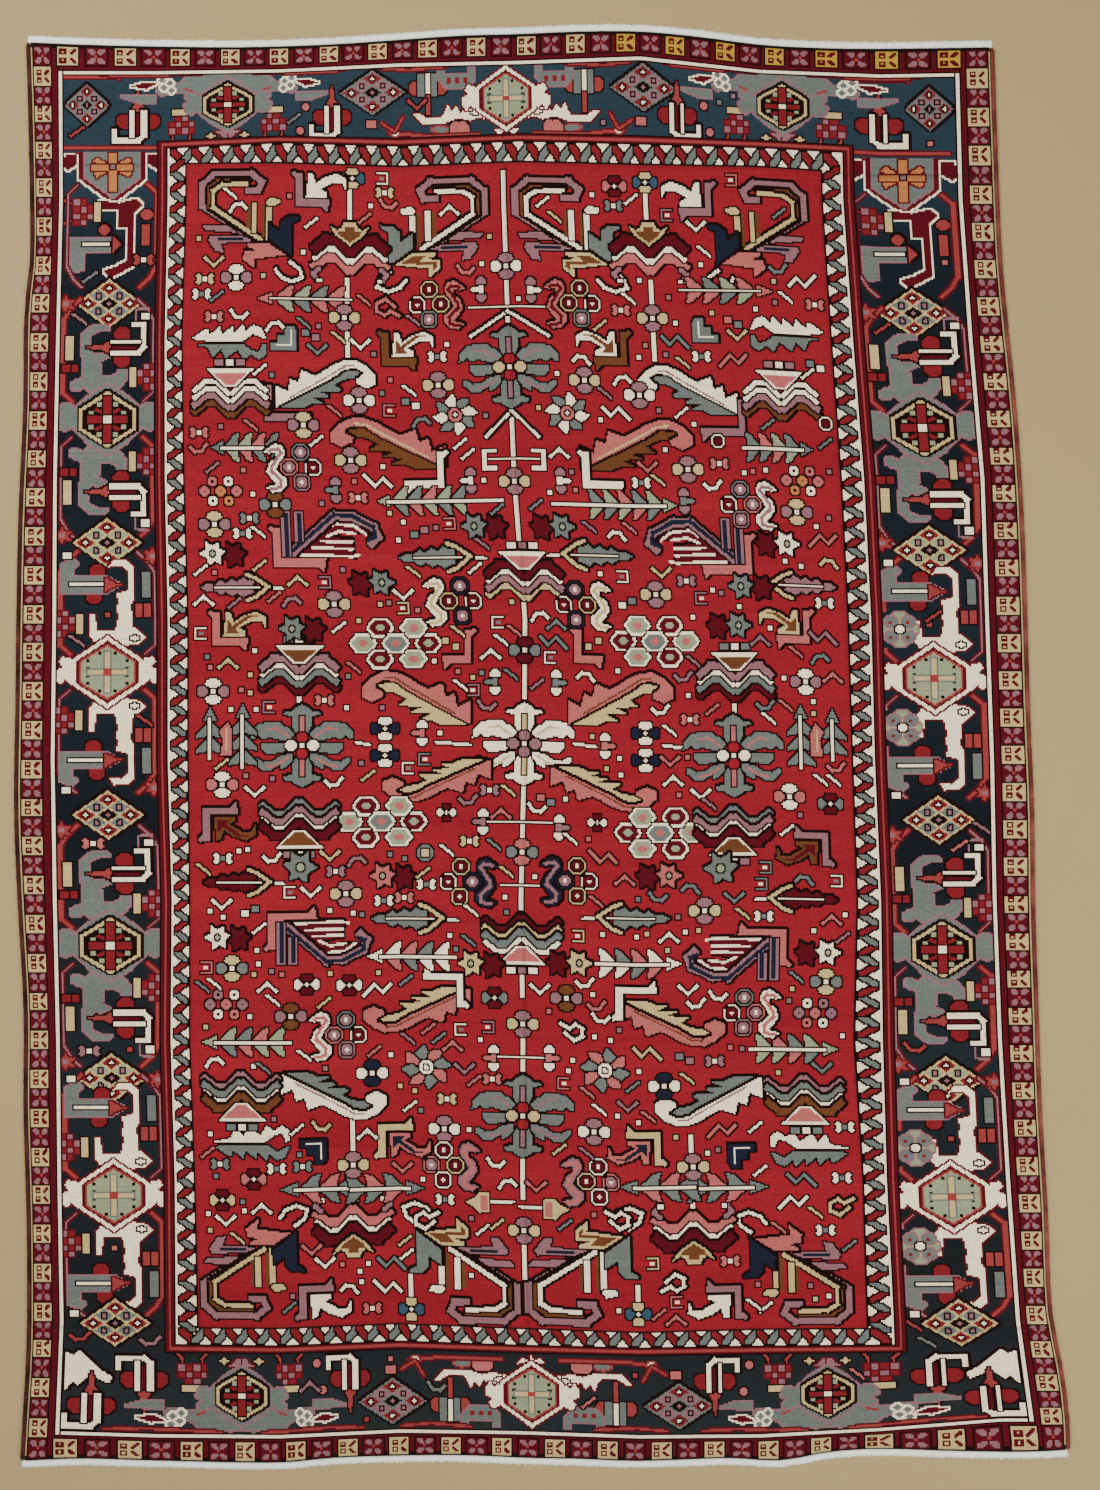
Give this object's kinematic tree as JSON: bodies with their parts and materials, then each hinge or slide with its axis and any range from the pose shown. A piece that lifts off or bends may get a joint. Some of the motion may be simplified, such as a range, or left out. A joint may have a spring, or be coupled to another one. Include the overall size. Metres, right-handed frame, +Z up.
{
  "type": "persian rug",
  "caption": "Room-size hand-knotted wool rug with an all-over floral red field, a framed border, overcast side cords and short cut cotton fringes, lying flat.",
  "frame": {"origin": "on the floor, under the middle of the rug's bounding box", "axes": "+X across the rug to the picture's right, +Y along the rug to the picture's top, +Z up out of the pile"},
  "size_m": [2.5572, 3.4891, 0.009],
  "materials": {
    "wool_pile": "cut wool pile, matt with a slight sheen",
    "overcast_wool": "wool wrapped over a cord, matt",
    "cotton_warp": "undyed cotton, matt"
  },
  "bodies": {
    "root": {"rug_body": "wool_pile", "side_cord_left": "overcast_wool", "side_cord_right": "overcast_wool", "fringe_top": "cotton_warp", "fringe_bottom": "cotton_warp"}
  },
  "joints": []
}
